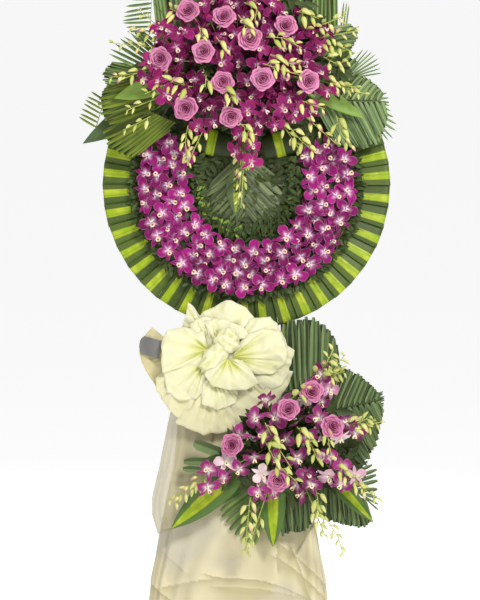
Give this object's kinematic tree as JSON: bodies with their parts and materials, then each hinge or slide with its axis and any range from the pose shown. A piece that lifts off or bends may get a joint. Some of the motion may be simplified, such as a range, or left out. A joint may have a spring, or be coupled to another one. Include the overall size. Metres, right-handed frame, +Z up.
{
  "type": "funeral wreath on a stand",
  "caption": "Standing funeral wreath: leaf-rimmed disc with an orchid ring, top and lower flower sprays, fabric bow and skirt on a leaning wooden stand.",
  "frame": {"origin": "on the floor, under the middle of the bounding box", "axes": "+Z up, the flowers face -Y, +X to the right seen from the front"},
  "size_m": [0.7414, 0.5888, 1.6511],
  "materials": {
    "wood": "satin",
    "foam": "matte",
    "board": "matte",
    "rim_leaf": "satin",
    "small_leaf": "satin",
    "palm_leaf": "satin",
    "broad_leaf": "satin",
    "rose_petal": "matte",
    "orchid_petal": "satin",
    "bow_fabric": "satin",
    "skirt_fabric": "matte",
    "sheer_fabric": "matte",
    "tag_ribbon": "satin"
  },
  "bodies": {
    "root": {"backing_disc": "board", "bow": "bow_fabric", "centre_frond": "palm_leaf", "centre_leaf": "broad_leaf", "folded_leaf_left": "rim_leaf", "folded_leaf_right": "rim_leaf", "inner_greens": "small_leaf", "leaf_rim": "rim_leaf", "lower_foam_block": "foam", "lower_frond_1": "palm_leaf", "lower_frond_2": "palm_leaf", "lower_frond_3": "palm_leaf", "lower_frond_4": "palm_leaf", "lower_frond_5": "palm_leaf", "lower_frond_6": "palm_leaf", "lower_leaf_left": "broad_leaf", "lower_leaf_middle": "broad_leaf", "lower_leaf_right": "broad_leaf", "lower_orchids": "orchid_petal", "lower_rose_1": "rose_petal", "lower_rose_2": "rose_petal", "lower_rose_3": "rose_petal", "lower_rose_4": "rose_petal", "lower_rose_5": "rose_petal", "orchid_ring": "orchid_petal", "outer_greens": "small_leaf", "ribbon_tag": "tag_ribbon", "sheer_panel": "sheer_fabric", "skirt": "skirt_fabric", "stand_bar_foot": "wood", "stand_bar_middle": "wood", "stand_bar_upper": "wood", "stand_leg_left": "wood", "stand_leg_rear": "wood", "stand_leg_right": "wood", "stand_tie_bar": "wood", "top_foam_block": "foam", "top_frond_1": "palm_leaf", "top_frond_2": "palm_leaf", "top_frond_3": "palm_leaf", "top_frond_4": "palm_leaf", "top_frond_5": "palm_leaf", "top_frond_6": "palm_leaf", "top_frond_7": "palm_leaf", "top_frond_8": "palm_leaf", "top_leaf_left": "broad_leaf", "top_leaf_left_low": "broad_leaf", "top_orchids": "orchid_petal", "top_rose_1": "rose_petal", "top_rose_10": "rose_petal", "top_rose_11": "rose_petal", "top_rose_2": "rose_petal", "top_rose_3": "rose_petal", "top_rose_4": "rose_petal", "top_rose_5": "rose_petal", "top_rose_6": "rose_petal", "top_rose_7": "rose_petal", "top_rose_8": "rose_petal", "top_rose_9": "rose_petal", "top_shoot_right": "broad_leaf"}
  },
  "joints": []
}
